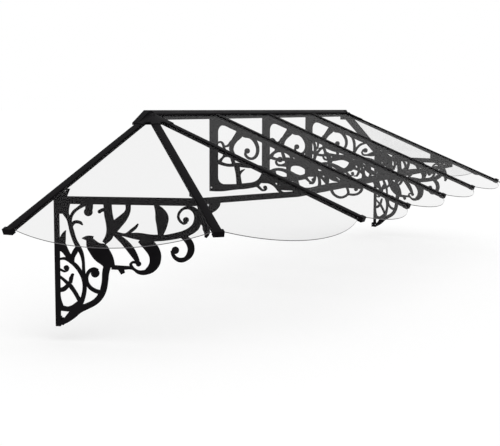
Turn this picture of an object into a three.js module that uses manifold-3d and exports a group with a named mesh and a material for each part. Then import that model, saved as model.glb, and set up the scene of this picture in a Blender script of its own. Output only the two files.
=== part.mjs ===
// Wall canopy with a glazed hipped roof on scrolled brackets.
// Millimetres, +Z up. The wall is the plane Y = 0 and the canopy stands out along -Y.
// The origin is on the back face of the wall rail, midway along it and level with the ridge axis.

import * as THREE from 'three';
import { mergeVertices } from 'three/addons/utils/BufferGeometryUtils.js';
import Module from 'manifold-3d';

const wasm = await Module();
wasm.setup();

// Driving dimensions
const BAYS = 4;
const BAY = 560;              // spacing of the front rafters
const RAFTER_RUN = 888;       // level distance from ridge axis to the end of a bar
const RAFTER_DROP = 365;      // fall over that distance
const AXIS_OUT = 30;          // ridge axis to wall
const BAR_W = 30;             // rafter tube
const BAR_H = 12;
const BAR_WALL = 1.6;
const WALL_BAR_W = 24;
const WALL_WEB = 3;           // web that joins a wall bar to the wall
const SHEET = 3;              // clear sheet
const SHEET_INSET = 4;        // edge of a sheet to the bar axis
const EDGE_RADIUS = 548;      // curved lower edge of every sheet
const EDGE_SETBACK = 1.5;     // where that edge starts, before the end of the bar
const STRIP_T = 2.5;          // strip that holds the sheets down
const STRIP_FIN = 6;
const CAP_W = 38;             // end cap
const CAP_LENGTH = 21;
const CAP_UP = 8;
const CAP_DOWN = 13;
const CAP_BEVEL = 2;
const PLUG_LENGTH = 16;
const RAIL_H = 40;            // wall rail with its cover
const RAIL_D = 22;
const RAIL_WALL = 2;
const COVER_H = 10;           // part of the rail height that the cover takes
const COVER_OUT = 38;
const COVER_T = 2.5;
const COVER_BEND = 16;        // level top of the cover, from the wall
const COVER_LIP = 6;
const HUB_HALF = 20;          // half width of a ridge end casting
const HUB_BACK = 27;          // casting depth, from the wall
const HUB_FLAT = 4;           // level top of a casting, past the ridge axis
const HUB_REACH = 100;        // arms of the hub cover, along the bars
const HUB_WEB = 78;           // webs between those arms
const HUB_T = 5;
const HUB_ARM_W = 38;
const CORE_RADIUS = 40;
const CORE_H = 17;
const HUB_BAR_START = 52;     // bars that start at a hub
const CROSS_BACK = 244;       // ring of cross bars, level distance back from the ends of the bars
const CROSS_H = 22;
const PLATE = 8;              // scrolled plates and cross bars
const END_TURN = THREE.MathUtils.degToRad(18);
const END_TAIL = 38;          // scrolls of an end bracket past the corner rafter
const END_TOE = 9;            // lowest scroll of an end bracket, above the foot of its leg
const END_LEG = 465;          // leg of an end bracket, below its arm's top
const END_POST = 20;
const END_ARM = 27;
const END_HEAD = 62;          // head of an end bracket, below its arm's top
const END_LUG_W = 15;         // lug in front of the wall bar
const END_LUG_H = 14;
const MIDDLE_LEG = 346;       // leg of a middle bracket, below the ridge axis
const MIDDLE_POST = 41;
const MIDDLE_RIM = 9;
const MIDDLE_TAIL = 54;       // scrolls of a middle bracket past the ring of cross bars
const MIDDLE_DIP = 3;         // and below the foot of its leg
const GUSSET_OUT = 98;        // gusset of a corner bar
const GUSSET_DOWN = 42;
const HEEL_LENGTH = 74;       // plate under a rafter that has no bracket, back from the ring
const CLEAT_LEG = 30;
const CLEAT_H = 28;
const CLEAT_T = 3;
const SEAT = 0.3;             // clearance between touching pieces
const ARC_STEPS = 12;         // facets of an arc, of a scroll's ball and of a hub's core
const BALL_STEPS = 5;
const CORE_SIDES = 24;
const WELD = 1e-3;            // points closer than this are one

// Sizes worked out from them
const FAN = Math.PI / 4;
const SLOPE = Math.atan2(RAFTER_DROP, RAFTER_RUN);
const SLOPE_TAN = Math.tan(SLOPE);
const SLOPE_COS = Math.cos(SLOPE);
const SLOPE_SIN = Math.sin(SLOPE);
const BAR_LENGTH = RAFTER_RUN / SLOPE_COS;
const APEX_X = BAYS * BAY / 2;
const WEDGE_SLOPE = Math.atan(SLOPE_TAN / Math.cos(FAN / 2));
const WEDGE_HALF = Math.asin(Math.sin(FAN / 2) * SLOPE_COS);
const WEDGE_TILT = Math.acos(
  SLOPE_SIN * Math.sin(WEDGE_SLOPE) * Math.cos(FAN / 2) + SLOPE_COS * Math.cos(WEDGE_SLOPE),
);
const EDGE_START = BAR_LENGTH - EDGE_SETBACK;
const CAP_CLEAR = CAP_W / 2 + 2 * SEAT;
const BAR_DEPTH = BAR_H / SLOPE_COS;
const RAIL_END = APEX_X - HUB_HALF - SEAT;
const RAFTER_START = (RAIL_D + SEAT + BAR_H * SLOPE_SIN - AXIS_OUT) / SLOPE_COS;
const CROSS_RUN = RAFTER_RUN - CROSS_BACK;
const RING_TOP = -(CROSS_RUN + PLATE / 2) * SLOPE_TAN - BAR_DEPTH - SEAT;
const CORNER_OUT = CROSS_RUN * Math.cos(FAN);
const END_CROSSING = (AXIS_OUT + CORNER_OUT) / Math.cos(END_TURN);
const END_X = APEX_X + CORNER_OUT + END_CROSSING * Math.sin(END_TURN);

const canopy = new THREE.Group();

// Materials

function blackMetal() {
  return new THREE.MeshStandardMaterial({ color: 0x1f1d1f, roughness: 0.45, metalness: 0.3 });
}

function blackPlastic() {
  return new THREE.MeshStandardMaterial({ color: 0x181718, roughness: 0.55, metalness: 0 });
}

function clearSheet() {
  return new THREE.MeshStandardMaterial({
    color: 0xeef0f2, roughness: 0.05, metalness: 0, transparent: true, opacity: 0.2,
  });
}

// Joining and cutting

function solid(geometry) {
  const bare = geometry.clone();
  bare.deleteAttribute('normal');
  bare.deleteAttribute('uv');
  const merged = mergeVertices(bare, WELD);
  return new wasm.Manifold(new wasm.Mesh({
    numProp: 3,
    vertProperties: new Float32Array(merged.attributes.position.array),
    triVerts: new Uint32Array(merged.index.array),
  }));
}

function geometryOf(body) {
  const mesh = body.getMesh();
  const geometry = new THREE.BufferGeometry();
  geometry.setAttribute('position', new THREE.BufferAttribute(mesh.vertProperties, mesh.numProp));
  geometry.setIndex(new THREE.BufferAttribute(mesh.triVerts, 1));
  return geometry;
}

function joined(geometries) {
  return geometries.map(solid).reduce((body, next) => body.add(next));
}

// Shapes

function outline(points) {
  return new THREE.Shape(points.map(([x, y]) => new THREE.Vector2(x, y)));
}

function extruded(shape, depth) {
  return new THREE.ExtrudeGeometry(shape, { depth, bevelEnabled: false, curveSegments: ARC_STEPS });
}

function box(x0, x1, y0, y1, z0, z1) {
  const geometry = new THREE.BoxGeometry(x1 - x0, y1 - y0, z1 - z0);
  return geometry.translate((x0 + x1) / 2, (y0 + y1) / 2, (z0 + z1) / 2);
}

// A section drawn across a bar (sideways, up) and drawn out downhill, along local -Y.
function downhill(section, start, end) {
  return extruded(section, end - start).rotateX(Math.PI / 2).translate(0, -start, 0);
}

// A section drawn as (Y, Z) and drawn out along the wall.
function alongWall(section, x0, x1) {
  const geometry = extruded(section, x1 - x0).rotateX(Math.PI / 2).rotateZ(Math.PI / 2);
  return geometry.translate(x0, 0, 0);
}

// Placing: a piece drawn with local -Y downhill is pitched to its slope and turned about +Z.
function add(name, geometry, material, turn = 0, pitch = 0, x = 0, y = 0, z = 0) {
  const mesh = new THREE.Mesh(geometry, material);
  mesh.name = name;
  mesh.rotation.set(pitch, 0, turn, 'ZYX');
  mesh.position.set(x, y, z);
  canopy.add(mesh);
}

// A plate drawn as (out from the wall, up) stands upright, heading away from the wall.
function addPlate(name, geometry, heading, x, y, z) {
  add(name, geometry, blackMetal(), heading - Math.PI / 2, Math.PI / 2, x, y, z);
}

// Every sloping bar: where it starts, which way it heads, and how far the sheets beside it tilt.
const sides = [{ word: 'left', sign: -1 }, { word: 'right', sign: 1 }];
const bars = [];
for (const { word, sign } of sides) {
  const x = sign * APEX_X;
  bars.push({ name: `wall_${word}`, x, turn: sign * 2 * FAN, wall: -sign, hub: true });
  bars.push({ name: `corner_${word}`, x, turn: sign * FAN, tilt: [WEDGE_TILT, WEDGE_TILT], hub: true });
}
for (let i = 0; i <= BAYS; i += 1) {
  const tilt = [i === 0 ? WEDGE_TILT : 0, i === BAYS ? WEDGE_TILT : 0];
  bars.push({ name: `front_${i + 1}`, x: i * BAY - APEX_X, turn: 0, tilt, hub: i === 0 || i === BAYS });
}

// Height of the sheets' underside beside a bar, at a sideways distance from its axis.
function seatHeight(bar, sideways) {
  if (bar.wall) {
    return sideways * bar.wall > 0 ? -Math.abs(sideways) * Math.tan(WEDGE_TILT) : 0;
  }
  const tilt = sideways < 0 ? bar.tilt[0] : bar.tilt[1];
  return -Math.abs(sideways) * Math.tan(tilt);
}

// Roof-topped section with a bottom line at a fixed depth.
function roofSection(bar, halfLeft, halfRight, top, bottom) {
  return outline([
    [-halfLeft, bottom],
    [halfRight, bottom],
    [halfRight, seatHeight(bar, halfRight) + top],
    [0, top],
    [-halfLeft, seatHeight(bar, -halfLeft) + top],
  ]);
}

// Heel of a rafter without a bracket: an upright plate under the tube that stands on the cross bars.
function heel() {
  const foot = RING_TOP + SEAT;
  const back = CROSS_RUN - HEEL_LENGTH;
  const insideTube = BAR_WALL / 2 - BAR_H;
  const top = (insideTube - back * SLOPE_SIN) / SLOPE_COS;
  const tip = (insideTube - foot * SLOPE_COS) / SLOPE_SIN;
  const onBar = (run, height) => [height * SLOPE_SIN - run * SLOPE_COS, run * SLOPE_SIN + height * SLOPE_COS];
  return alongWall(outline([onBar(back, foot), onBar(tip, foot), onBar(back, top)]), -PLATE / 2, PLATE / 2);
}

function barTube(bar) {
  const half = (bar.wall ? WALL_BAR_W : BAR_W) / 2;
  const section = roofSection(bar, half, half, -SEAT, -BAR_H);
  const inner = half - BAR_WALL;
  section.holes.push(roofSection(bar, inner, inner, -SEAT - BAR_WALL, BAR_WALL - BAR_H));
  const start = bar.hub ? HUB_BAR_START : RAFTER_START;
  const tube = downhill(section, start, BAR_LENGTH);
  if (!bar.wall) {
    return bar.hub ? geometryOf(joined([tube, heel()])) : tube;
  }
  const wallSide = -bar.wall;
  const webSpan = [wallSide * (half - BAR_WALL / 2), wallSide * AXIS_OUT].sort((a, b) => a - b);
  const web = box(webSpan[0], webSpan[1], -BAR_LENGTH, -start, -BAR_H, WALL_WEB - BAR_H);
  return geometryOf(joined([tube, web]));
}

// Strip over the sheets, with a fin between them that reaches the tube.
function barStrip(bar) {
  const half = BAR_W / 2;
  const fin = STRIP_FIN / 2;
  const low = SHEET + SEAT;
  const high = low + STRIP_T;
  const edge = (sideways, height) => [sideways, seatHeight(bar, sideways) + height];
  const rightFoot = bar.wall < 0 ? [[half, SEAT]] : [edge(half, low), edge(fin, low), edge(fin, SEAT)];
  const leftFoot = bar.wall > 0 ? [[-half, SEAT]] : [edge(-fin, SEAT), edge(-fin, low), edge(-half, low)];
  const section = outline([
    ...rightFoot.reverse(), edge(half, high), [0, high], edge(-half, high), ...leftFoot.reverse(),
  ]);
  const lip = (COVER_OUT + SEAT - AXIS_OUT - SHEET * SLOPE_SIN) / SLOPE_COS;
  return downhill(section, bar.hub ? HUB_REACH + SEAT : lip, BAR_LENGTH);
}

function endCap(bar) {
  const half = CAP_W / 2 - CAP_BEVEL;
  const low = CAP_BEVEL - CAP_DOWN;
  const high = CAP_UP - CAP_BEVEL;
  const block = new THREE.ExtrudeGeometry(outline([[-half, low], [half, low], [half, high], [-half, high]]), {
    depth: CAP_LENGTH - 2 * CAP_BEVEL, bevelThickness: CAP_BEVEL, bevelSize: CAP_BEVEL, bevelSegments: 2,
  });
  block.rotateX(Math.PI / 2).translate(0, -BAR_LENGTH - SEAT - CAP_BEVEL, 0);
  const inner = (bar.wall ? WALL_BAR_W : BAR_W) / 2 - BAR_WALL - SEAT;
  const top = Math.min(seatHeight(bar, inner), seatHeight(bar, -inner)) - 2 * SEAT - BAR_WALL;
  const plug = box(
    -inner, inner, -BAR_LENGTH - CAP_LENGTH / 2, PLUG_LENGTH - BAR_LENGTH, SEAT + BAR_WALL - BAR_H, top,
  );
  return geometryOf(joined([block, plug]));
}

for (const bar of bars) {
  const kind = bar.name.startsWith('wall') ? 'bar' : 'rafter';
  const place = [bar.turn, SLOPE, bar.x, -AXIS_OUT, 0];
  add(bar.name.replace('_', `_${kind}_`), barTube(bar), blackMetal(), ...place);
  add(bar.name.replace('_', '_strip_'), barStrip(bar), blackMetal(), ...place);
  add(bar.name.replace('_', '_end_cap_'), endCap(bar), blackPlastic(), ...place);
}

// Sheets: the lower edge is an arc between the ends of the two bars beside it, stepped around their caps.
// The outer front sheets are notched around the hub.
function frontSheet(index) {
  const top = (AXIS_OUT - RAIL_D - SEAT) / SLOPE_COS;
  const notchY = (AXIS_OUT - HUB_BACK - SEAT) / SLOPE_COS;
  const notchX = HUB_HALF + SEAT;
  const left = SHEET_INSET;
  const right = BAY - SHEET_INSET;
  const centreY = -EDGE_START + Math.sqrt(EDGE_RADIUS ** 2 - (BAY / 2) ** 2);
  const shape = new THREE.Shape();
  if (index === 0) {
    shape.moveTo(notchX, top);
    shape.lineTo(notchX, notchY);
    shape.lineTo(left, notchY);
  } else {
    shape.moveTo(left, top);
  }
  const corner = Math.asin((BAY / 2 - CAP_CLEAR) / EDGE_RADIUS);
  shape.lineTo(left, -BAR_LENGTH);
  shape.lineTo(CAP_CLEAR, -BAR_LENGTH);
  shape.absarc(BAY / 2, centreY, EDGE_RADIUS, -Math.PI / 2 - corner, -Math.PI / 2 + corner, false);
  shape.lineTo(BAY - CAP_CLEAR, -BAR_LENGTH);
  shape.lineTo(right, -BAR_LENGTH);
  if (index === BAYS - 1) {
    shape.lineTo(right, notchY);
    shape.lineTo(BAY - notchX, notchY);
    shape.lineTo(BAY - notchX, top);
  } else {
    shape.lineTo(right, top);
  }
  return extruded(shape, SHEET);
}

function wedgeSheet() {
  const sin = Math.sin(WEDGE_HALF);
  const cos = Math.cos(WEDGE_HALF);
  const centreY = -EDGE_START * cos + Math.sqrt(EDGE_RADIUS ** 2 - (EDGE_START * sin) ** 2);
  // a point beside the right-hand bar, from how far it is down the bar and in from the bar's axis
  const beside = (along, inward) => [along * sin - inward * cos, -along * cos - inward * sin];
  // where the line past the cap's side meets the arc
  const [startX, startY] = beside(0, CAP_CLEAR);
  const middle = (startY - centreY) * cos - startX * sin;
  const reach = EDGE_RADIUS ** 2 + middle ** 2 - startX ** 2 - (startY - centreY) ** 2;
  const [cornerX] = beside(middle + Math.sqrt(reach), CAP_CLEAR);
  const corner = Math.asin(cornerX / EDGE_RADIUS);
  const [capX, capY] = beside(BAR_LENGTH, CAP_CLEAR);
  const [footX, footY] = beside(BAR_LENGTH, SHEET_INSET);
  const topY = -HUB_BAR_START - SHEET_INSET;
  const topX = -topY * Math.tan(WEDGE_HALF) - SHEET_INSET / cos;
  const shape = new THREE.Shape();
  shape.moveTo(topX, topY);
  shape.lineTo(-topX, topY);
  shape.lineTo(-footX, footY);
  shape.lineTo(-capX, capY);
  shape.absarc(0, centreY, EDGE_RADIUS, -Math.PI / 2 - corner, -Math.PI / 2 + corner, false);
  shape.lineTo(capX, capY);
  shape.lineTo(footX, footY);
  return extruded(shape, SHEET);
}

for (let i = 0; i < BAYS; i += 1) {
  add(`front_panel_${i + 1}`, frontSheet(i), clearSheet(), 0, SLOPE, i * BAY - APEX_X, -AXIS_OUT);
}
for (const { word, sign } of sides) {
  const place = [WEDGE_SLOPE, sign * APEX_X, -AXIS_OUT];
  add(`corner_panel_${word}`, wedgeSheet(), clearSheet(), sign * FAN / 2, ...place);
  add(`side_panel_${word}`, wedgeSheet(), clearSheet(), sign * FAN * 1.5, ...place);
}

// Wall rail and its cover
const railTop = RAIL_H / 2 - COVER_H;
const railSection = outline([
  [0, -RAIL_H / 2], [0, railTop], [-RAIL_D, railTop], [-RAIL_D, -RAIL_H / 2],
]);
railSection.holes.push(outline([
  [-RAIL_WALL, RAIL_WALL - RAIL_H / 2],
  [-RAIL_WALL, railTop - RAIL_WALL],
  [RAIL_WALL - RAIL_D, railTop - RAIL_WALL],
  [RAIL_WALL - RAIL_D, RAIL_WALL - RAIL_H / 2],
]));
add('wall_rail', alongWall(railSection, -RAIL_END, RAIL_END), blackMetal());

function railCover() {
  const sheetTop = (out) => (AXIS_OUT - out) * SLOPE_TAN + (SHEET + SEAT) / SLOPE_COS;
  const foot = railTop + SEAT;
  const section = outline([
    [0, foot],
    [0, RAIL_H / 2],
    [-COVER_BEND, RAIL_H / 2],
    [-COVER_OUT, sheetTop(COVER_OUT) + COVER_LIP],
    [-COVER_OUT, sheetTop(COVER_OUT)],
    [-COVER_OUT + COVER_T, sheetTop(COVER_OUT - COVER_T)],
    [-COVER_OUT + COVER_T, sheetTop(COVER_OUT - COVER_T) + COVER_LIP - COVER_T],
    [-COVER_BEND + COVER_T / 3, RAIL_H / 2 - COVER_T],
    [-COVER_T, RAIL_H / 2 - COVER_T],
    [-COVER_T, foot],
  ]);
  return alongWall(section, -RAIL_END, RAIL_END);
}

add('rail_cover', railCover(), blackMetal());

// Ridge end: a casting with a spigot for each bar, and a cover with an arm over each bar
function hubCasting(sign) {
  const reach = HUB_REACH * SLOPE_COS;
  const coreTop = -RAIL_H / 2 - 2 * SEAT;
  const coreFoot = coreTop - CORE_H;
  const profile = outline([
    [-HUB_HALF, -RAIL_H / 2],
    [-HUB_HALF, RAIL_H / 2],
    [HUB_FLAT, RAIL_H / 2],
    [reach, -reach * SLOPE_TAN + (SHEET + SEAT + HUB_T) / SLOPE_COS],
    [reach, -reach * SLOPE_TAN + SEAT],
    [CORE_RADIUS, -CORE_RADIUS * SLOPE_TAN + SEAT],
    [CORE_RADIUS, coreFoot],
    [-HUB_HALF / 2, coreFoot],
  ].map(([x, z]) => [sign * x, z]));
  const back = extruded(profile, HUB_BACK).rotateX(Math.PI / 2);
  const core = new THREE.CylinderGeometry(CORE_RADIUS, CORE_RADIUS, CORE_H, CORE_SIDES);
  core.rotateX(Math.PI / 2).translate(0, -AXIS_OUT, (coreTop + coreFoot) / 2);
  const wall = box(-2 * CORE_RADIUS, 2 * CORE_RADIUS, 0, 2 * CORE_RADIUS, 2 * coreFoot, 0);
  let body = solid(back).add(solid(core).subtract(solid(wall)));
  for (const step of [0, 1, 2]) {
    const half = (step === 2 ? WALL_BAR_W : BAR_W) / 2 - BAR_WALL - SEAT;
    const top = -SEAT * 2 - BAR_WALL - half * Math.tan(WEDGE_TILT);
    const spigot = box(-half, half, -HUB_REACH, -HUB_BAR_START / 2, SEAT + BAR_WALL - BAR_H, top);
    spigot.rotateX(SLOPE).rotateZ(sign * step * FAN).translate(0, -AXIS_OUT, 0);
    body = body.add(solid(spigot));
  }
  return geometryOf(body);
}

function hubCover(sign) {
  const half = HUB_ARM_W / 2;
  const low = SHEET + SEAT;
  const pieces = bars.filter((bar) => bar.hub && Math.sign(bar.x) === sign).map((bar) => {
    const edge = (sideways, height) => [sideways, seatHeight(bar, sideways) + height];
    const section = outline([
      edge(half, low), edge(half, low + HUB_T), [0, low + HUB_T], edge(-half, low + HUB_T),
      edge(-half, low), [0, low],
    ]);
    return downhill(section, 0, HUB_REACH).rotateX(SLOPE).rotateZ(bar.turn);
  });
  const webX = HUB_REACH * Math.sin(WEDGE_HALF);
  const webY = -HUB_REACH * Math.cos(WEDGE_HALF);
  for (const step of [0.5, 1.5]) {
    const shape = new THREE.Shape();
    shape.moveTo(0, 0);
    shape.lineTo(-webX, webY);
    shape.quadraticCurveTo(0, -2 * HUB_WEB - webY, webX, webY);
    const web = extruded(shape, HUB_T - 2 * SEAT).translate(0, 0, low + SEAT);
    pieces.push(web.rotateX(WEDGE_SLOPE).rotateZ(sign * step * FAN));
  }
  const far = 2 * HUB_REACH;
  const casting = box(-far, far, AXIS_OUT - HUB_BACK - SEAT, far, -far, far);
  return geometryOf(joined(pieces).subtract(solid(casting)));
}

for (const { word, sign } of sides) {
  add(`hub_${word}`, hubCasting(sign), blackMetal(), 0, 0, sign * APEX_X, 0);
  add(`hub_cover_${word}`, hubCover(sign), blackPlastic(), 0, 0, sign * APEX_X, -AXIS_OUT);
}

// Scrollwork: a strip follows a smooth line, its width given at each point of the line
const TIGHT_TURN = 0.62;      // a span that turns further than this, in radians, is drawn in two steps

function strip(line, widths) {
  const curve = new THREE.SplineCurve(line.map(([x, y]) => new THREE.Vector2(x, y)));
  const spans = line.length - 1;
  const left = [];
  const right = [];
  const cross = (position) => {
    const span = Math.min(Math.floor(position), spans - 1);
    const width = THREE.MathUtils.lerp(widths[span], widths[span + 1], position - span);
    const point = curve.getPoint(position / spans);
    const ahead = curve.getTangent(position / spans);
    const across = new THREE.Vector2(-ahead.y, ahead.x).multiplyScalar(width / 2);
    left.push(point.clone().add(across));
    right.push(point.clone().sub(across));
    return ahead;
  };
  let before = cross(0);
  for (let i = 1; i <= spans; i += 1) {
    const after = curve.getTangent(i / spans);
    if (Math.abs(before.cross(after)) > Math.sin(TIGHT_TURN) || before.dot(after) < 0) {
      cross(i - 0.5);
    }
    before = cross(i);
  }
  return new THREE.Shape([...left, ...right.reverse()]);
}

function roundedCorner(point, from, to) {
  const shape = new THREE.Shape();
  shape.moveTo(...point);
  shape.lineTo(...from);
  shape.quadraticCurveTo(...point, ...to);
  return shape;
}

function ball([x, y], radius) {
  const shape = new THREE.Shape();
  shape.absarc(x, y, radius, 0, 2 * Math.PI, false);
  return shape;
}

// A drawn pattern at its real size: reach is how far it goes along each axis, place puts a point there
function scrollwork(strips, balls, corners, reach, place) {
  const drawn = [0, 1].map((axis) => Math.max(...strips.flatMap(({ line }) => line.map((p) => p[axis]))));
  const scale = [reach[0] / drawn[0], reach[1] / drawn[1]];
  const thick = (scale[0] + scale[1]) / 2;
  const at = ([x, y]) => place(x * scale[0], y * scale[1]);
  return [
    ...strips.map(({ line, width }) => strip(line.map(at), width.map((w) => w * thick))),
    ...balls.map(([centre, radius]) => ball(at(centre), radius * thick)),
    ...corners.map((points) => roundedCorner(...points.map(at))),
  ];
}

function plateGeometry(shapes) {
  const options = { depth: PLATE, bevelEnabled: false, curveSegments: BALL_STEPS };
  const geometries = shapes.map((shape) => new THREE.ExtrudeGeometry(shape, options));
  return joined(geometries.map((geometry) => geometry.translate(0, 0, -PLATE / 2)));
}

// End bracket pattern, drawn as (out from the wall, down from the arm's top)
const END_STRIPS = [
  // lower sweep from the foot up to the middle of the bracket
  { line: [[14, 456], [36, 445], [60, 424], [88, 403], [121, 388], [146, 374], [163, 357], [176, 333],
    [183, 300], [186, 268], [192, 244]], width: [14, 20, 30, 26, 22, 22, 22, 22, 22, 24, 26] },
  // ribs that cross the lower panel
  { line: [[10, 398], [50, 402], [90, 385]], width: [20, 18, 30] },
  { line: [[14, 224], [38, 221], [60, 231], [80, 248], [96, 270], [106, 296], [109, 322], [105, 350],
    [96, 378]], width: [8, 10, 13, 14, 14, 13, 14, 15, 16] },
  { line: [[12, 281], [33, 297], [56, 317], [74, 342], [89, 369], [96, 386]],
    width: [8, 9, 14, 13, 13, 14] },
  { line: [[12, 337], [34, 330], [50, 315], [57, 302]], width: [14, 17, 14, 10] },
  { line: [[57, 308], [60, 292], [66, 276]], width: [12, 14, 8] },
  // lower end of the leg, which widens towards the foot
  { line: [[14, 345], [16, 376], [22, 404]], width: [8, 16, 24] },
  // small curl beside the leg
  { line: [[12, 257], [24, 262], [36, 267], [47, 263], [51, 252]], width: [7, 7, 7, 7, 6] },
  // leaf on the leg
  { line: [[24, 196], [28, 180], [30, 155], [38, 130], [43, 121]], width: [14, 24, 24, 10, 2] },
  { line: [[14, 160], [30, 178], [48, 206], [62, 226]], width: [40, 30, 20, 20] },
  // stem down from the head, forked around an almond opening
  { line: [[40, 28], [45, 62], [54, 80], [59, 98], [66, 126], [75, 154], [86, 176], [98, 198], [105, 228],
    [106, 258], [108, 288]], width: [40, 20, 13, 13, 15, 14, 16, 14, 10, 10, 10] },
  { line: [[88, 176], [76, 196], [66, 216], [64, 234]], width: [14, 18, 16, 16] },
  // arc under the arm, curl and hook
  { line: [[116, 24], [92, 40], [74, 54], [62, 74], [60, 96]], width: [18, 11, 11, 11, 10] },
  { line: [[64, 106], [74, 92], [88, 90], [99, 94], [105, 101]], width: [8, 12, 11, 9, 2] },
  { line: [[130, 20], [129, 40], [127, 53]], width: [26, 26, 24] },
  { line: [[192, 44], [178, 46], [168, 51]], width: [14, 13, 11] },
  // main stem and its branch
  { line: [[195, 20], [198, 60], [205, 95], [206, 122], [198, 143], [182, 162]],
    width: [28, 29, 30, 30, 25, 16] },
  { line: [[270, 20], [268, 48], [252, 72], [234, 90], [214, 112]], width: [18, 18, 28, 34, 36] },
  // long rim that ends in the outer scroll
  { line: [[208, 126], [250, 132], [300, 136], [350, 142], [398, 140], [440, 132], [476, 122], [505, 102],
    [516, 72], [508, 46], [488, 33], [467, 36], [453, 48], [447, 66], [455, 82], [468, 89], [478, 84]],
  width: [16, 10, 24, 25, 20, 22, 26, 28, 26, 20, 14, 10, 9, 8, 8, 8, 8] },
  { line: [[520, 34], [531, 54], [540, 82], [545, 105], [548, 124], [543, 136]],
    width: [8, 12, 22, 24, 17, 8] },
  { line: [[512, 70], [526, 80], [540, 92]], width: [20, 16, 14] },
  { line: [[262, 130], [282, 116], [296, 104], [304, 93]], width: [10, 12, 10, 5] },
  // leaf between arm and rim
  { line: [[363, 20], [380, 45], [389, 68], [389, 95], [384, 132]], width: [6, 31, 46, 38, 18] },
  // scroll that hangs from the rim
  { line: [[462, 130], [484, 152], [492, 176], [487, 196], [474, 211], [456, 217], [438, 211], [427, 198],
    [424, 184]], width: [20, 24, 24, 22, 17, 16, 13, 10, 9] },
  // crescent and spear
  { line: [[318, 142], [342, 166], [360, 190], [365, 216], [355, 244], [330, 263], [304, 263], [286, 252],
    [278, 240]], width: [40, 44, 44, 40, 32, 18, 13, 10, 8] },
  { line: [[278, 248], [276, 236], [286, 228], [298, 230]], width: [9, 9, 9, 9] },
  { line: [[218, 128], [252, 156], [270, 175], [286, 197], [300, 221], [305, 234]],
    width: [14, 22, 25, 23, 15, 12] },
  { line: [[208, 248], [240, 249], [284, 249]], width: [16, 15, 12] },
  { line: [[240, 252], [249, 270]], width: [22, 14] },
  // broad bird-shaped leaf
  { line: [[128, 150], [136, 167], [148, 182], [164, 192], [177, 208], [194, 229], [204, 250]],
    width: [22, 40, 50, 66, 62, 48, 34] },
  { line: [[140, 152], [120, 146], [102, 147]], width: [26, 16, 2] },
  // scroll above the lower sweep
  { line: [[158, 262], [145, 256], [130, 261], [119, 277], [116, 298], [126, 319], [146, 333], [170, 340]],
    width: [12, 12, 12, 12, 13, 13, 14, 16] },
];
const END_BALLS = [
  [[65, 279], 5.5], [[43, 254], 9], [[126, 54], 15], [[167, 52], 6.5], [[474, 76], 10], [[436, 183], 13],
  [[305, 234], 9], [[148, 271], 15],
];

function endBracket() {
  const reach = [END_CROSSING + END_TAIL, END_LEG - END_TOE];
  const shapes = scrollwork(END_STRIPS, END_BALLS, [], reach, (x, y) => [x, -y]);
  const back = PLATE / 2 * Math.tan(END_TURN) + SEAT;
  const front = (AXIS_OUT + WALL_BAR_W / 2) / Math.cos(END_TURN) + back;
  // leg, head with a lug in front of the wall bar, and arm
  shapes.push(outline([[back, 0], [END_POST, 0], [END_POST, -END_LEG], [back, -END_LEG]]));
  const head = -(END_X - APEX_X + PLATE / 2) * SLOPE_TAN - BAR_DEPTH - SEAT - RING_TOP;
  const underBar = head + front * Math.sin(END_TURN) * SLOPE_TAN;
  const lug = head + END_LUG_H;
  shapes.push(outline([
    [back, -END_HEAD], [back, head], [front, underBar], [front, lug], [front + END_LUG_W, lug],
    [front + END_LUG_W / 4, 0], [front + END_LUG_W, -END_ARM / 3], [front + END_LUG_W / 4, -END_HEAD],
  ]));
  shapes.push(outline([[back, 0], [back, -END_ARM], [END_CROSSING, -END_ARM], [END_CROSSING, 0]]));
  const far = 2 * END_LEG;
  const wall = box(-far, back, -far, far, -PLATE, PLATE);
  return geometryOf(plateGeometry(shapes).subtract(solid(wall)));
}

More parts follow.
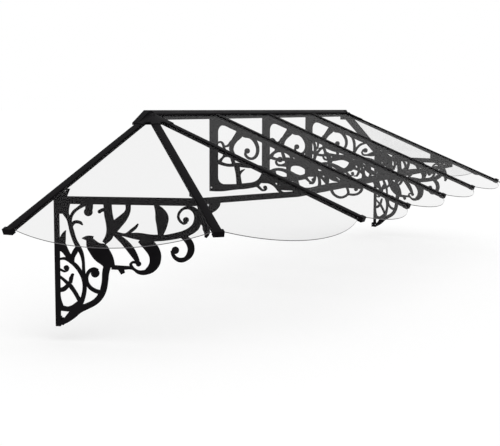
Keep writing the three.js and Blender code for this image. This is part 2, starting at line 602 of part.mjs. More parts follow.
// Middle bracket pattern, drawn as (out from the wall, down from the ridge axis) under a roof of one slope
const MIDDLE_DRAWN_SLOPE = 0.411;
const MIDDLE_STRIPS = [
  // bottom bar, hook below it and stem above it
  { line: [[10, 328], [70, 328], [130, 322], [190, 315], [232, 306], [256, 288], [270, 262]],
    width: [36, 32, 26, 26, 26, 24, 22] },
  { line: [[236, 310], [250, 322], [262, 331], [276, 331], [285, 322]], width: [14, 10, 9, 8, 7] },
  { line: [[150, 318], [146, 285], [142, 255], [136, 226]], width: [26, 22, 22, 26] },
  { line: [[148, 268], [162, 250], [176, 242]], width: [12, 9, 3] },
  // level stem
  { line: [[36, 210], [66, 221], [100, 226], [134, 222], [197, 228], [256, 232], [280, 246]],
    width: [20, 14, 14, 18, 16, 18, 26] },
  // small loops beside the post
  { line: [[20, 40], [60, 36], [110, 58]], width: [30, 22, 10] },
  { line: [[30, 130], [54, 122], [68, 134], [75, 160], [72, 186], [54, 206]],
    width: [10, 8, 10, 11, 10, 14] },
  { line: [[70, 142], [90, 140], [110, 120]], width: [10, 10, 14] },
  { line: [[70, 190], [86, 187], [108, 184]], width: [6, 6, 10] },
  // big scroll
  { line: [[164, 62], [146, 90], [120, 120], [109, 150], [122, 180], [160, 196], [200, 209]],
    width: [40, 34, 24, 20, 16, 12, 6] },
  { line: [[106, 165], [112, 192], [122, 218]], width: [14, 14, 16] },
  { line: [[146, 60], [180, 82], [208, 98], [230, 122], [240, 152], [234, 178], [216, 193], [194, 191],
    [179, 176], [180, 162]], width: [20, 40, 19, 16, 14, 13, 12, 11, 10, 9] },
  { line: [[204, 90], [238, 100], [266, 116], [281, 142], [286, 176], [283, 212], [274, 242]],
    width: [14, 14, 13, 13, 13, 13, 16] },
  // eye scroll and the stem that leaves it
  { line: [[280, 224], [296, 188], [320, 164], [352, 154], [386, 160], [403, 182], [404, 206]],
    width: [12, 13, 12, 12, 14, 14, 12] },
  { line: [[338, 190], [329, 204], [338, 218], [358, 219], [388, 213], [424, 206], [458, 214], [482, 232],
    [486, 252], [468, 268]], width: [9, 9, 9, 11, 24, 26, 24, 24, 20, 12] },
  { line: [[270, 262], [296, 252], [330, 238], [366, 240], [398, 253], [428, 265], [458, 267], [486, 252]],
    width: [26, 18, 13, 14, 20, 18, 16, 12] },
  // round loop under the stem
  { line: [[256, 284], [290, 292], [322, 306], [346, 332]], width: [24, 16, 14, 12] },
  { line: [[362, 270], [342, 300], [348, 332], [380, 345], [412, 336], [424, 312], [418, 286], [402, 262]],
    width: [14, 12, 12, 12, 12, 12, 12, 14] },
  { line: [[318, 244], [330, 268], [354, 284]], width: [12, 12, 16] },
  { line: [[352, 298], [380, 308], [412, 322]], width: [8, 24, 12] },
  // rim to the outer end and the ribs above it
  { line: [[418, 312], [446, 318], [480, 322], [530, 312], [590, 300], [650, 294], [728, 302]],
    width: [16, 16, 18, 20, 24, 24, 14] },
  { line: [[424, 266], [430, 292], [440, 318]], width: [14, 14, 14] },
  { line: [[496, 222], [512, 250], [512, 276], [502, 293], [488, 294]], width: [16, 12, 11, 10, 6] },
  { line: [[516, 222], [530, 258], [536, 288], [536, 314]], width: [14, 12, 12, 14] },
  { line: [[548, 230], [568, 258], [573, 282], [566, 304]], width: [14, 12, 12, 12] },
  { line: [[596, 246], [628, 262], [642, 282], [640, 300]], width: [12, 12, 14, 16] },
  // outer scrolls
  { line: [[588, 300], [594, 326], [610, 342], [634, 349], [657, 341], [668, 326], [660, 300]],
    width: [12, 11, 10, 10, 10, 10, 10] },
  { line: [[662, 334], [690, 335], [714, 328], [728, 312], [728, 300]], width: [10, 10, 10, 10, 12] },
  { line: [[716, 298], [706, 304], [700, 312]], width: [10, 9, 8] },
];
const MIDDLE_BALLS = [
  [[277, 319], 8], [[188, 160], 12], [[348, 194], 12], [[366, 286], 15], [[702, 311], 8],
];
// rounded corners of the window beside the post: the corner, a little inside the metal, and both ends
const MIDDLE_CORNERS = [
  [[39, 314], [84, 313], [40, 272]],
  [[40, 44], [76, 48], [40, 88]],
];

function middleBracket() {
  const reach = [AXIS_OUT + CROSS_RUN + MIDDLE_TAIL, MIDDLE_LEG + MIDDLE_DIP];
  const shear = SLOPE_TAN - MIDDLE_DRAWN_SLOPE;
  const sheared = (x, y) => [x, -y - (x - AXIS_OUT) * shear];
  const under = (x) => -(x - AXIS_OUT) * SLOPE_TAN - BAR_DEPTH - SEAT;
  const shapes = scrollwork(MIDDLE_STRIPS, MIDDLE_BALLS, MIDDLE_CORNERS, reach, sheared);
  const top = -RAIL_H / 2 - SEAT;
  const tip = reach[0] + MIDDLE_RIM / 2;
  const spare = MIDDLE_RIM;
  // the post and the rim stand proud of the wall, the rail and the rafter, and are trimmed to them
  shapes.push(outline([
    [-spare, top + spare], [-spare, -MIDDLE_LEG], [MIDDLE_POST, -MIDDLE_LEG], [MIDDLE_POST, top + spare],
  ]));
  shapes.push(outline([
    [AXIS_OUT, under(AXIS_OUT) + spare], [AXIS_OUT, under(AXIS_OUT) - 2 * MIDDLE_RIM],
    [tip, under(tip) - MIDDLE_RIM], [tip, under(tip) + spare],
  ]));
  const railFront = RAIL_D + SEAT;
  const far = 2 * RAFTER_RUN;
  const above = outline([
    [-far, top], [railFront, top], [railFront, under(railFront)], [far, under(far)], [far, far], [-far, far],
  ]);
  const cutter = extruded(above, 2 * PLATE).translate(0, 0, -PLATE);
  const wall = box(-far, 0, -far, far, -PLATE, PLATE);
  return geometryOf(plateGeometry(shapes).subtract(solid(cutter)).subtract(solid(wall)));
}

for (const { word, sign } of sides) {
  addPlate(`end_bracket_${word}`, endBracket(), -sign * END_TURN, sign * END_X, 0, RING_TOP);
}
for (let i = 1; i < BAYS; i += 1) {
  addPlate(`middle_bracket_${i}`, middleBracket(), 0, i * BAY - APEX_X, 0, 0);
}

// Ring of cross bars under the rafters
for (let i = 0; i < BAYS; i += 1) {
  const x = i * BAY - APEX_X;
  const start = x + (i === 0 ? SEAT : PLATE / 2 + SEAT);
  const end = x + BAY - (i === BAYS - 1 ? SEAT : PLATE / 2 + SEAT);
  const y = -AXIS_OUT - CROSS_RUN;
  const bar = box(start, end, y - PLATE / 2, y + PLATE / 2, RING_TOP - CROSS_H, RING_TOP);
  add(`front_bar_${i + 1}`, bar, blackMetal());
}

// Corner bar with a quarter-round gusset; it starts clear of the end bracket and ends at the front bar
const CORNER_HEADING = (Math.PI - FAN) / 2;

function cornerBar() {
  const start = PLATE / 2 / Math.tan((CORNER_HEADING - END_TURN) / 2) + SEAT;
  const end = 2 * CROSS_RUN * Math.sin(FAN / 2) - PLATE / 2 * Math.tan(FAN / 2);
  const shape = new THREE.Shape();
  shape.moveTo(start, 0);
  shape.lineTo(start, -CROSS_H - GUSSET_DOWN);
  shape.absellipse(start, -CROSS_H, GUSSET_OUT, GUSSET_DOWN, -Math.PI / 2, 0, false);
  shape.lineTo(end, -CROSS_H);
  shape.lineTo(end, 0);
  return extruded(shape, PLATE).translate(0, 0, -PLATE / 2);
}

for (const { word, sign } of sides) {
  const place = [sign * (APEX_X + CORNER_OUT), -AXIS_OUT - CORNER_OUT, RING_TOP];
  addPlate(`corner_bar_${word}`, cornerBar(), -sign * CORNER_HEADING, ...place);
}

// Angle cleats that hold the brackets' legs to the wall
function cleat(turn, side) {
  const near = PLATE / 2 + SEAT;
  const far = near + CLEAT_T;
  const point = (offset, out) => [
    offset * Math.cos(turn) + out * Math.sin(turn), offset * Math.sin(turn) - out * Math.cos(turn),
  ];
  const bend = (far * Math.sin(turn) + CLEAT_T) / Math.cos(turn);
  const plan = [
    [near / Math.cos(turn), 0], point(near, CLEAT_LEG), point(far, CLEAT_LEG), point(far, bend),
    [far + CLEAT_LEG, -CLEAT_T], [far + CLEAT_LEG, 0],
  ];
  return extruded(outline(plan.map(([x, y]) => [side * x, y])), CLEAT_H);
}

const cleats = [
  { x: -END_X, turn: END_TURN, side: 1, foot: RING_TOP - END_LEG },
  { x: END_X, turn: END_TURN, side: -1, foot: RING_TOP - END_LEG },
];
for (let i = 1; i < BAYS; i += 1) {
  cleats.push({ x: i * BAY - APEX_X, turn: 0, side: 1, foot: -MIDDLE_LEG });
}
cleats.forEach(({ x, turn, side, foot }, i) => {
  add(`wall_cleat_${i + 1}`, cleat(turn, side), blackMetal(), 0, 0, x, 0, foot + CLEAT_T);
});

export default canopy;
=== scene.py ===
import math

import bmesh
import bpy
from mathutils import Matrix, Vector


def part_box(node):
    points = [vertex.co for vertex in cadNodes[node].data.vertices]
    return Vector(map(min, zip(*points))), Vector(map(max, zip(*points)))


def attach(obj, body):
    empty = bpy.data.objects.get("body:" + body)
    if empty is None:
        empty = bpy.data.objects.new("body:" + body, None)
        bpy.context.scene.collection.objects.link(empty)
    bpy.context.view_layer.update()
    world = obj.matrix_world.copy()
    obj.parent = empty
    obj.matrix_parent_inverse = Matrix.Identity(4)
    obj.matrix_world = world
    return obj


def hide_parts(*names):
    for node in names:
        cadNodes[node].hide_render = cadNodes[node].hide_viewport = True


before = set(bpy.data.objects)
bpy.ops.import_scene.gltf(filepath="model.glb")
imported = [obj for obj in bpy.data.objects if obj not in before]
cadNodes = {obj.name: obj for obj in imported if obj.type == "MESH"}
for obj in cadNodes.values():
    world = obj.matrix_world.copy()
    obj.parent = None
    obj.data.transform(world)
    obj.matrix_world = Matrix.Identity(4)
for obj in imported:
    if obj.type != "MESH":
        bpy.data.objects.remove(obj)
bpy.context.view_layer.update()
scene = bpy.context.scene
scene.view_settings.view_transform = "Standard"
print("frame loaded,", len(cadNodes), "nodes")


# Helpers for selecting, editing and finishing a piece
def dropAll():
    if bpy.context.mode != "OBJECT":
        bpy.ops.object.mode_set(mode="OBJECT")
    bpy.ops.object.select_all(action="DESELECT")


def pick(piece):
    dropAll()
    piece.select_set(True)
    bpy.context.view_layer.objects.active = piece


def editMesh(piece, mode):
    pick(piece)
    bpy.ops.object.mode_set(mode="EDIT")
    bpy.ops.mesh.select_mode(type=mode)
    bpy.ops.mesh.select_all(action="DESELECT")
    return bmesh.from_edit_mesh(piece.data)


def camelName(nodeName):
    words = nodeName.split("_")
    return words[0] + "".join(word.capitalize() for word in words[1:])


def finishPiece(piece, nodeName, material):
    piece.data.materials.clear()
    piece.data.materials.append(material)
    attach(piece, "root")
    if nodeName:
        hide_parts(nodeName)


# Material helpers
noiseLow = 0.3      # the noise seldom leaves this range
noiseHigh = 0.7
noiseDetail = {"patches": 4.0, "grain": 2.0, "sheet": 2.0, "waves": 1.0}


def startMaterial(name):
    material = bpy.data.materials.new(name)
    material.use_nodes = True
    tree = material.node_tree
    return material, tree, tree.nodes["Principled BSDF"]


def noiseOn(tree, scale, detail):
    coords = tree.nodes.new("ShaderNodeTexCoord")
    noise = tree.nodes.new("ShaderNodeTexNoise")
    noise.inputs["Scale"].default_value = scale
    noise.inputs["Detail"].default_value = detail
    tree.links.new(coords.outputs["Object"], noise.inputs["Vector"])
    return noise.outputs["Fac"]


def spread(tree, fac, low, high):
    node = tree.nodes.new("ShaderNodeMapRange")
    node.inputs["From Min"].default_value = noiseLow
    node.inputs["From Max"].default_value = noiseHigh
    node.inputs["To Min"].default_value = low
    node.inputs["To Max"].default_value = high
    tree.links.new(fac, node.inputs["Value"])
    return node.outputs["Result"]


def twoTones(tree, fac, deep, pale):
    ramp = tree.nodes.new("ShaderNodeValToRGB")
    first, last = ramp.color_ramp.elements
    first.position = noiseLow
    first.color = (*deep, 1)
    last.position = noiseHigh
    last.color = (*pale, 1)
    tree.links.new(fac, ramp.inputs["Fac"])
    return ramp.outputs["Color"]


def addGrain(tree, shader, fac, strength, height):
    bump = tree.nodes.new("ShaderNodeBump")
    bump.inputs["Strength"].default_value = strength
    bump.inputs["Distance"].default_value = height
    tree.links.new(fac, bump.inputs["Height"])
    tree.links.new(bump.outputs["Normal"], shader.inputs["Normal"])


# Black powder coat on every metal bar, rail and bracket
powderCoat = {
    "deep": (0.0052, 0.0048, 0.0054),
    "pale": (0.0088, 0.0081, 0.0091),
    "patchScale": 9.0,
    "roughLow": 0.42,
    "roughHigh": 0.54,
    "specular": 0.010,
    "grainScale": 1100.0,     # orange peel, about a millimetre across
    "grainStrength": 0.22,
    "grainHeight": 0.00012,
}


def makeCoat(name, look):
    material, tree, shader = startMaterial(name)
    patches = noiseOn(tree, look["patchScale"], noiseDetail["patches"])
    grain = noiseOn(tree, look["grainScale"], noiseDetail["grain"])
    tree.links.new(twoTones(tree, patches, look["deep"], look["pale"]), shader.inputs["Base Color"])
    tree.links.new(spread(tree, patches, look["roughLow"], look["roughHigh"]), shader.inputs["Roughness"])
    shader.inputs["Specular IOR Level"].default_value = look["specular"]
    shader.inputs["Metallic"].default_value = look.get("metallic", 0.0)
    addGrain(tree, shader, grain, look["grainStrength"], look["grainHeight"])
    return material


# Moulded plastic of the end caps
capPlastic = {
    "deep": (0.0030, 0.0027, 0.0031),
    "pale": (0.0048, 0.0044, 0.0050),
    "patchScale": 24.0,
    "roughLow": 0.50,
    "roughHigh": 0.62,
    "specular": 0.02,
    "grainScale": 2600.0,     # fine spark texture of the mould
    "grainStrength": 0.30,
    "grainHeight": 0.00008,
}

# The ridge covers are the same plastic, a little greyer
coverPlastic = {
    **capPlastic,
    "deep": (0.0068, 0.0063, 0.0070),
    "pale": (0.0100, 0.0093, 0.0102),
}

# Bright steel of the screws
screwSteel = {
    "deep": (0.56, 0.56, 0.57),
    "pale": (0.72, 0.72, 0.73),
    "patchScale": 320.0,
    "roughLow": 0.28,
    "roughHigh": 0.42,
    "specular": 0.5,
    "metallic": 1.0,
    "grainScale": 4200.0,
    "grainStrength": 0.15,
    "grainHeight": 0.00003,
}

# Clear flat sheet: what lies behind shows through, and it veils more where it is seen edge on
clearSheet = {
    "deep": (0.010, 0.0095, 0.010),
    "pale": (0.016, 0.0155, 0.016),
    "patchScale": 2.5,
    "roughLow": 0.03,
    "roughHigh": 0.07,
    "specular": 0.5,
    "leastVeil": 0.066,
    "grazingVeil": 0.035,
    "veilPower": 3.4,
    "veilBlend": 0.5,
    "waveScale": 5.0,         # faint waviness of drawn sheet
    "waveStrength": 0.05,
    "waveHeight": 0.004,
}


def makeSheetMaterial(look):
    material, tree, shader = startMaterial("clearSheet")
    patches = noiseOn(tree, look["patchScale"], noiseDetail["sheet"])
    waves = noiseOn(tree, look["waveScale"], noiseDetail["waves"])
    tree.links.new(twoTones(tree, patches, look["deep"], look["pale"]), shader.inputs["Base Color"])
    tree.links.new(spread(tree, patches, look["roughLow"], look["roughHigh"]), shader.inputs["Roughness"])
    shader.inputs["Specular IOR Level"].default_value = look["specular"]
    addGrain(tree, shader, waves, look["waveStrength"], look["waveHeight"])
    weight = tree.nodes.new("ShaderNodeLayerWeight")
    weight.inputs["Blend"].default_value = look["veilBlend"]
    steep = tree.nodes.new("ShaderNodeMath")
    steep.operation = "POWER"
    steep.inputs[1].default_value = look["veilPower"]
    veil = tree.nodes.new("ShaderNodeMath")
    veil.operation = "MULTIPLY_ADD"
    veil.inputs[1].default_value = look["grazingVeil"]
    veil.inputs[2].default_value = look["leastVeil"]
    tree.links.new(weight.outputs["Facing"], steep.inputs[0])
    tree.links.new(steep.outputs["Value"], veil.inputs[0])
    tree.links.new(veil.outputs["Value"], shader.inputs["Alpha"])
    return material


# Sawn and polished edge of the sheet
sheetEdge = {
    "deep": (0.060, 0.058, 0.061),
    "pale": (0.100, 0.097, 0.101),
    "patchScale": 60.0,
    "roughLow": 0.30,
    "roughHigh": 0.45,
    "specular": 0.3,
    "grainScale": 900.0,
    "grainStrength": 0.2,
    "grainHeight": 0.0001,
}

coatMaterial = makeCoat("powderCoat", powderCoat)
capMaterial = makeCoat("capPlastic", capPlastic)
coverMaterial = makeCoat("coverPlastic", coverPlastic)
screwMaterial = makeCoat("screwSteel", screwSteel)
sheetMaterial = makeSheetMaterial(clearSheet)
edgeMaterial = makeCoat("sheetEdge", sheetEdge)
print("materials made")


seam = 0.00001      # points closer than this are one point


def weld(piece):
    editMesh(piece, "VERT")
    bpy.ops.mesh.select_all(action="SELECT")
    bpy.ops.mesh.remove_doubles(threshold=seam)
    bpy.ops.mesh.dissolve_degenerate(threshold=seam)
    bpy.ops.object.mode_set(mode="OBJECT")


# Round edges shade smoothly, and the wide faces beside them stay flat
def shadeEdges(piece, angle):
    pick(piece)
    bpy.ops.object.shade_smooth_by_angle(angle=angle)
    level = piece.modifiers.new("levelFaces", "WEIGHTED_NORMAL")
    level.keep_sharp = True
    bpy.ops.object.modifier_apply(modifier=level.name)


# A copy of a node as one closed skin, ready to be shaped
def weldedCopy(nodeName):
    piece = bpy.data.objects.new(camelName(nodeName), cadNodes[nodeName].data.copy())
    scene.collection.objects.link(piece)
    editMesh(piece, "VERT")
    bpy.ops.mesh.select_all(action="SELECT")
    bpy.ops.mesh.remove_doubles(threshold=seam)
    bpy.ops.mesh.customdata_custom_splitnormals_clear()
    bpy.ops.object.mode_set(mode="OBJECT")
    return piece


# Bars, strips, rail, castings, covers, caps and cleats: same shape, with softened edges
softEdge = {
    "flatAngle": math.radians(1.5),
    "edgeAngle": math.radians(32),
    "smoothAngle": math.radians(38),
    "segments": 2,
}


def softenedCopy(nodeName, width, material):
    piece = weldedCopy(nodeName)
    editMesh(piece, "EDGE")
    bpy.ops.mesh.select_all(action="SELECT")
    bpy.ops.mesh.dissolve_limited(angle_limit=softEdge["flatAngle"])
    bpy.ops.object.mode_set(mode="OBJECT")
    bevel = piece.modifiers.new("softEdge", "BEVEL")
    bevel.width = width
    bevel.segments = softEdge["segments"]
    bevel.limit_method = "ANGLE"
    bevel.angle_limit = softEdge["edgeAngle"]
    bpy.ops.object.modifier_apply(modifier=bevel.name)
    weld(piece)
    shadeEdges(piece, softEdge["smoothAngle"])
    finishPiece(piece, nodeName, material)
    return piece


barEdges = {"tube": 0.0008, "strip": 0.0007, "rail": 0.0008, "casting": 0.0015, "cleat": 0.0006}
capEdges = {"endCap": 0.0012, "hubCover": 0.0012}

for side in ("left", "right"):
    softenedCopy("wall_bar_" + side, barEdges["tube"], coatMaterial)
    softenedCopy("corner_rafter_" + side, barEdges["tube"], coatMaterial)
    softenedCopy("wall_strip_" + side, barEdges["strip"], coatMaterial)
    softenedCopy("corner_strip_" + side, barEdges["strip"], coatMaterial)
    softenedCopy("hub_" + side, barEdges["casting"], coatMaterial)
    softenedCopy("hub_cover_" + side, capEdges["hubCover"], coverMaterial)
    softenedCopy("wall_end_cap_" + side, capEdges["endCap"], capMaterial)
    softenedCopy("corner_end_cap_" + side, capEdges["endCap"], capMaterial)
for number in range(1, 6):
    softenedCopy(f"front_rafter_{number}", barEdges["tube"], coatMaterial)
    softenedCopy(f"front_strip_{number}", barEdges["strip"], coatMaterial)
    softenedCopy(f"front_end_cap_{number}", capEdges["endCap"], capMaterial)
    softenedCopy(f"wall_cleat_{number}", barEdges["cleat"], coatMaterial)
for number in range(1, 5):
    softenedCopy(f"front_bar_{number}", barEdges["tube"], coatMaterial)
softenedCopy("wall_rail", barEdges["rail"], coatMaterial)
softenedCopy("rail_cover", barEdges["strip"], coatMaterial)
print("bars, strips, caps and covers softened")


# Plates and sheets are redrawn as smooth outlines of the same thickness
broadFacing = 0.9       # least part of a broad face's normal that lies along the plate's axis


def plateFrame(piece):
    across = max(piece.data.polygons, key=lambda face: face.area).normal.copy()
    depths = [vertex.co.dot(across) for vertex in piece.data.vertices]
    turn = across.to_track_quat("Z", "Y").to_matrix().to_4x4()
    place = Matrix.Translation(across * (min(depths) + max(depths)) / 2) @ turn
    return place, max(depths) - min(depths)


# The rim of one broad face as bare edges, with the shortest ones merged
def outlineOnly(piece, shortest):
    edited = editMesh(piece, "FACE")
    for face in edited.faces:
        face.select = any(vertex.co.z < 0 for vertex in face.verts)
    bpy.ops.mesh.delete(type="FACE")
    bpy.ops.mesh.select_all(action="SELECT")
    bpy.ops.mesh.region_to_loop()
    bpy.ops.mesh.select_all(action="INVERT")
    bpy.ops.mesh.delete(type="EDGE")
    bpy.ops.mesh.select_all(action="SELECT")
    bpy.ops.mesh.delete(type="ONLY_FACE")
    bpy.ops.mesh.select_all(action="SELECT")
    bpy.ops.mesh.remove_doubles(threshold=shortest)
    bpy.ops.object.mode_set(mode="OBJECT")


def splitLongEdges(piece, longest):
    while True:
        edited = editMesh(piece, "EDGE")
        longEdges = [edge for edge in edited.edges if edge.calc_length() > longest]
        if not longEdges:
            break
        for edge in longEdges:
            edge.select = True
        bpy.ops.mesh.subdivide(number_cuts=1)
    bpy.ops.object.mode_set(mode="OBJECT")


def loopArea(points):
    corners = [point.co for point in points]
    following = corners[1:] + corners[:1]
    return abs(sum(a.x * b.y - b.x * a.y for a, b in zip(corners, following))) / 2


# Slits too small to be cut cleanly stay closed
def dropSlits(piece, leastHole):
    for spline in list(piece.data.splines):
        if loopArea(spline.points) < leastHole:
            piece.data.splines.remove(spline)


# Curves run smoothly through their points, and true corners stay sharp
def smoothSplines(piece, cornerAngle):
    bpy.ops.object.mode_set(mode="EDIT")
    bpy.ops.curve.select_all(action="SELECT")
    bpy.ops.curve.spline_type_set(type="BEZIER")
    bpy.ops.curve.handle_type_set(type="AUTOMATIC")
    bpy.ops.object.mode_set(mode="OBJECT")
    for spline in piece.data.splines:
        points = spline.bezier_points
        for index, point in enumerate(points):
            before = point.co - points[index - 1].co
            after = points[(index + 1) % len(points)].co - point.co
            if before.angle(after, 0) > cornerAngle:
                point.handle_left_type = "VECTOR"
                point.handle_right_type = "VECTOR"


# Broad faces in even triangles, because slivers would fold over when the rim is bevelled
def evenFill(piece):
    edited = editMesh(piece, "FACE")
    for face in edited.faces:
        face.select = abs(face.normal.z) > broadFacing
    bpy.ops.mesh.quads_convert_to_tris()
    bpy.ops.mesh.beautify_fill(angle_limit=math.pi)
    bpy.ops.object.mode_set(mode="OBJECT")


def softenRim(piece, look):
    bevel = piece.modifiers.new("rim", "BEVEL")
    bevel.width = look["edge"]
    bevel.segments = look["edgeSteps"]
    bevel.limit_method = "ANGLE"
    bevel.angle_limit = look["rimAngle"]
    bevel.use_clamp_overlap = False
    bpy.ops.object.modifier_apply(modifier=bevel.name)
    weld(piece)


def smoothPlate(nodeName, look):
    piece = weldedCopy(nodeName)
    place, thickness = plateFrame(piece)
    piece.data.transform(place.inverted())
    outlineOnly(piece, look["shortest"])
    splitLongEdges(piece, look["longest"])
    bpy.ops.object.convert(target="CURVE")
    dropSlits(piece, look["leastHole"])
    smoothSplines(piece, look["cornerAngle"])
    curve = piece.data
    curve.dimensions = "2D"
    curve.fill_mode = "BOTH"
    curve.resolution_u = look["steps"]
    curve.extrude = thickness / 2
    bpy.ops.object.convert(target="MESH")
    editMesh(piece, "VERT")
    bpy.ops.mesh.select_all(action="SELECT")
    bpy.ops.mesh.remove_doubles(threshold=seam)
    bpy.ops.mesh.normals_make_consistent(inside=False)
    evenFill(piece)
    if look["edge"]:
        softenRim(piece, look)
    piece.data.transform(place)
    shadeEdges(piece, look["smoothAngle"])
    return piece, place.to_3x3() @ Vector((0, 0, 1))


scrolledPlate = {
    "shortest": 0.0015,
    "leastHole": 0.000015,
    "longest": 0.062,
    "cornerAngle": math.radians(46),
    "steps": 3,
    "edge": 0,      # cut edge left sharp, because the slits run out to fine points
    "smoothAngle": math.radians(40),
}

gussetBar = {
    **scrolledPlate,
    "shortest": 0.004,
    "edge": 0.0003,
    "edgeSteps": 2,
    "rimAngle": math.radians(60),
}

plateLooks = {
    "end_bracket_left": scrolledPlate,
    "end_bracket_right": scrolledPlate,
    "corner_bar_left": gussetBar,
    "corner_bar_right": gussetBar,
    "middle_bracket_1": scrolledPlate,
    "middle_bracket_2": scrolledPlate,
    "middle_bracket_3": scrolledPlate,
}

for nodeName, look in plateLooks.items():
    plate, _ = smoothPlate(nodeName, look)
    finishPiece(plate, nodeName, coatMaterial)
    print(nodeName, len(plate.data.polygons), "faces")

sheetCut = {
    "shortest": 0.0015,
    "leastHole": 0.000015,
    "longest": 0.20,
    "cornerAngle": math.radians(16),
    "steps": 4,
    "edge": 0.0004,
    "edgeSteps": 1,
    "rimAngle": math.radians(60),
    "smoothAngle": math.radians(40),
}

sheetNames = [f"front_panel_{number}" for number in range(1, 5)]
sheetNames += ["corner_panel_left", "corner_panel_right", "side_panel_left", "side_panel_right"]
for nodeName in sheetNames:
    sheet, across = smoothPlate(nodeName, sheetCut)
    finishPiece(sheet, nodeName, sheetMaterial)
    sheet.data.materials.append(edgeMaterial)
    for face in sheet.data.polygons:
        if abs(face.normal.dot(across)) < broadFacing:
            face.material_index = 1
    print(nodeName, len(sheet.data.polygons), "faces")


# Socket screws, modelled once and copied
socketScrew = {
    "headRadius": 0.0038,
    "headHeight": 0.0024,
    "headSides": 28,
    "rimShare": 0.9,        # edges above this share of the height are the rim
    "round": 0.0009,
    "roundSteps": 3,
    "socketSides": 6,
    "socketRadius": 0.0016,
    "socketDepth": 0.0013,
    "smoothAngle": math.radians(35),
}


def modelScrew(look):
    dropAll()
    height = look["headHeight"]
    bpy.ops.mesh.primitive_cylinder_add(
        vertices=look["headSides"], radius=look["headRadius"], depth=height, location=(0, 0, height / 2))
    head = bpy.context.active_object
    head.name = "screwHead"
    bpy.ops.object.transform_apply(location=True, rotation=True, scale=True)
    edited = editMesh(head, "EDGE")
    for edge in edited.edges:
        edge.select = all(vertex.co.z > look["rimShare"] * height for vertex in edge.verts)
    bpy.ops.mesh.bevel(offset=look["round"], segments=look["roundSteps"], affect="EDGES")
    dropAll()
    bpy.ops.mesh.primitive_cylinder_add(
        vertices=look["socketSides"], radius=look["socketRadius"], depth=2 * look["socketDepth"],
        location=(0, 0, height))
    cutter = bpy.context.active_object
    pick(head)
    socket = head.modifiers.new("socket", "BOOLEAN")
    socket.operation = "DIFFERENCE"
    socket.object = cutter
    bpy.ops.object.modifier_apply(modifier=socket.name)
    bpy.data.objects.remove(cutter)
    shadeEdges(head, look["smoothAngle"])
    return head


def setScrews(name, places):
    copies = []
    for point, facing in places:
        screw = bpy.data.objects.new(name, screwHead.data.copy())
        scene.collection.objects.link(screw)
        turn = Vector(facing).to_track_quat("Z", "Y").to_matrix().to_4x4()
        screw.data.transform(Matrix.Translation(point) @ turn)
        copies.append(screw)
    pick(copies[0])
    for screw in copies[1:]:
        screw.select_set(True)
    bpy.ops.object.join()
    finishPiece(copies[0], None, screwMaterial)


screwHead = modelScrew(socketScrew)

# Where the screws go, from the nodes that they hold
screwPlaces = {
    "plateThick": 0.008,
    "gussetOut": 0.040,
    "gussetDown": 0.0265,
    "postOut": 0.011,
    "cleatOut": 0.021,
    "cleatThick": 0.003,
    "flangeOut": 0.020,
    "cornerTurn": math.radians(22.5),
    "endTurn": math.radians(18),
}

gussetScrews = []
cleatScrews = []
flangeScrews = []
for side, sign, number in (("left", -1, 1), ("right", 1, 2)):
    low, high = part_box("corner_bar_" + side)
    turn = screwPlaces["cornerTurn"]
    along = Vector((-sign * math.cos(turn), -math.sin(turn), 0))
    facing = Vector((sign * math.sin(turn), -math.cos(turn), 0))
    faceY = high.y - screwPlaces["plateThick"] * math.cos(turn)
    start = Vector((low.x if sign < 0 else high.x, faceY, high.z - screwPlaces["gussetDown"]))
    gussetScrews.append((start + along * screwPlaces["gussetOut"], facing))
    low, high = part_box(f"wall_cleat_{number}")
    turn = screwPlaces["endTurn"]
    along = Vector((-sign * math.sin(turn), -math.cos(turn), 0))
    facing = Vector((-sign * math.cos(turn), math.sin(turn), 0))
    start = Vector((low.x if sign < 0 else high.x, 0, (low.z + high.z) / 2))
    flange = start + along * screwPlaces["flangeOut"] + facing * screwPlaces["cleatThick"]
    flangeScrews.append((flange, facing))
    wallSpot = start + Vector((-sign * screwPlaces["cleatOut"], -screwPlaces["cleatThick"], 0))
    cleatScrews.append((wallSpot, (0, -1, 0)))

postScrews = []
for number in range(3, 6):
    low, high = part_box(f"wall_cleat_{number}")
    plateLow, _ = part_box(f"middle_bracket_{number - 2}")
    level = (low.z + high.z) / 2
    postScrews.append((Vector((plateLow.x, -screwPlaces["postOut"], level)), (-1, 0, 0)))
    wallSpot = Vector((low.x + screwPlaces["cleatOut"], -screwPlaces["cleatThick"], level))
    cleatScrews.append((wallSpot, (0, -1, 0)))
setScrews("gussetScrews", gussetScrews)
setScrews("flangeScrews", flangeScrews)
setScrews("postScrews", postScrews)
setScrews("cleatScrews", cleatScrews)
bpy.data.objects.remove(screwHead)
print("screws set")


# Floor, light and camera
studio = {
    "floorLevel": -0.80,
    "floorSize": 240.0,
    "floorWhite": 0.54,
    "floorGlow": 0.48,
    "floorRough": 0.9,
    "worldLight": 0.62,
    "worldSeen": 1.0,
    "sunStrength": 1.5,
    "sunSpread": math.radians(70),
    "sunTilt": (math.radians(32), math.radians(-24), 0),
}

dropAll()
bpy.ops.mesh.primitive_plane_add(size=studio["floorSize"], location=(0, 0, studio["floorLevel"]))
floor = bpy.context.active_object
floor.name = "floor"
floorMaterial, floorTree, floorShader = startMaterial("paleFloor")
floorShader.inputs["Base Color"].default_value = (*[studio["floorWhite"]] * 3, 1)
floorShader.inputs["Roughness"].default_value = studio["floorRough"]
floorShader.inputs["Specular IOR Level"].default_value = 0.0
floorShader.inputs["Emission Color"].default_value = (1, 1, 1, 1)
floorShader.inputs["Emission Strength"].default_value = studio["floorGlow"]
floor.data.materials.append(floorMaterial)

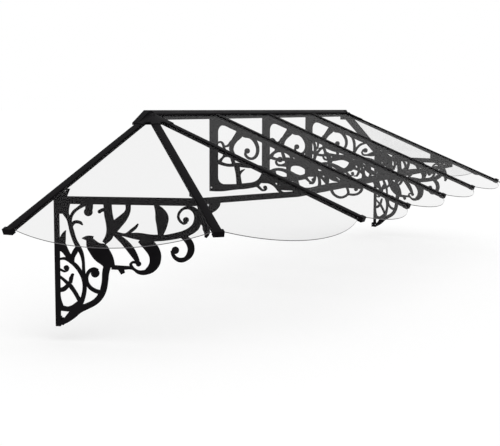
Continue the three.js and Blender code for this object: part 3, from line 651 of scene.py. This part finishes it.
# Surroundings that are white to look at, and dimmer as a light
world = bpy.data.worlds.new("studio")
scene.world = world
world.use_nodes = True
worldTree = world.node_tree
background = worldTree.nodes["Background"]
lightPath = worldTree.nodes.new("ShaderNodeLightPath")
seenOrMirrored = worldTree.nodes.new("ShaderNodeMath")
seenOrMirrored.operation = "MAXIMUM"
seenThrough = worldTree.nodes.new("ShaderNodeMath")
seenThrough.operation = "MAXIMUM"
brightness = worldTree.nodes.new("ShaderNodeMapRange")
brightness.inputs["To Min"].default_value = studio["worldLight"]
brightness.inputs["To Max"].default_value = studio["worldSeen"]
worldTree.links.new(lightPath.outputs["Is Camera Ray"], seenOrMirrored.inputs[0])
worldTree.links.new(lightPath.outputs["Is Glossy Ray"], seenOrMirrored.inputs[1])
worldTree.links.new(seenOrMirrored.outputs["Value"], seenThrough.inputs[0])
worldTree.links.new(lightPath.outputs["Is Transmission Ray"], seenThrough.inputs[1])
worldTree.links.new(seenThrough.outputs["Value"], brightness.inputs["Value"])
worldTree.links.new(brightness.outputs["Result"], background.inputs["Strength"])
background.inputs["Color"].default_value = (1, 1, 1, 1)

sunData = bpy.data.lights.new("softSun", "SUN")
sunData.energy = studio["sunStrength"]
sunData.angle = studio["sunSpread"]
sun = bpy.data.objects.new("softSun", sunData)
sun.rotation_euler = studio["sunTilt"]
scene.collection.objects.link(sun)

shot = {
    "place": (-4.68535, -2.18868, 0.03356),
    "yaw": math.radians(64.30),
    "pitch": math.radians(6.417),
    "roll": math.radians(0.23),
    "focalPixels": 1030.04,
    "framePixels": 500,
    "sensorWidth": 36.0,
    "farLimit": 400.0,
}

cameraData = bpy.data.cameras.new("shot")
cameraData.sensor_width = shot["sensorWidth"]
cameraData.lens = shot["focalPixels"] / shot["framePixels"] * cameraData.sensor_width
cameraData.clip_end = shot["farLimit"]
camera = bpy.data.objects.new("shot", cameraData)
camera.location = shot["place"]
aim = Matrix.Rotation(-shot["yaw"], 3, "Z") @ Matrix.Rotation(math.pi / 2 - shot["pitch"], 3, "X")
camera.rotation_euler = (aim @ Matrix.Rotation(shot["roll"], 3, "Z")).to_euler()
scene.collection.objects.link(camera)
scene.camera = camera
print("studio and camera set")
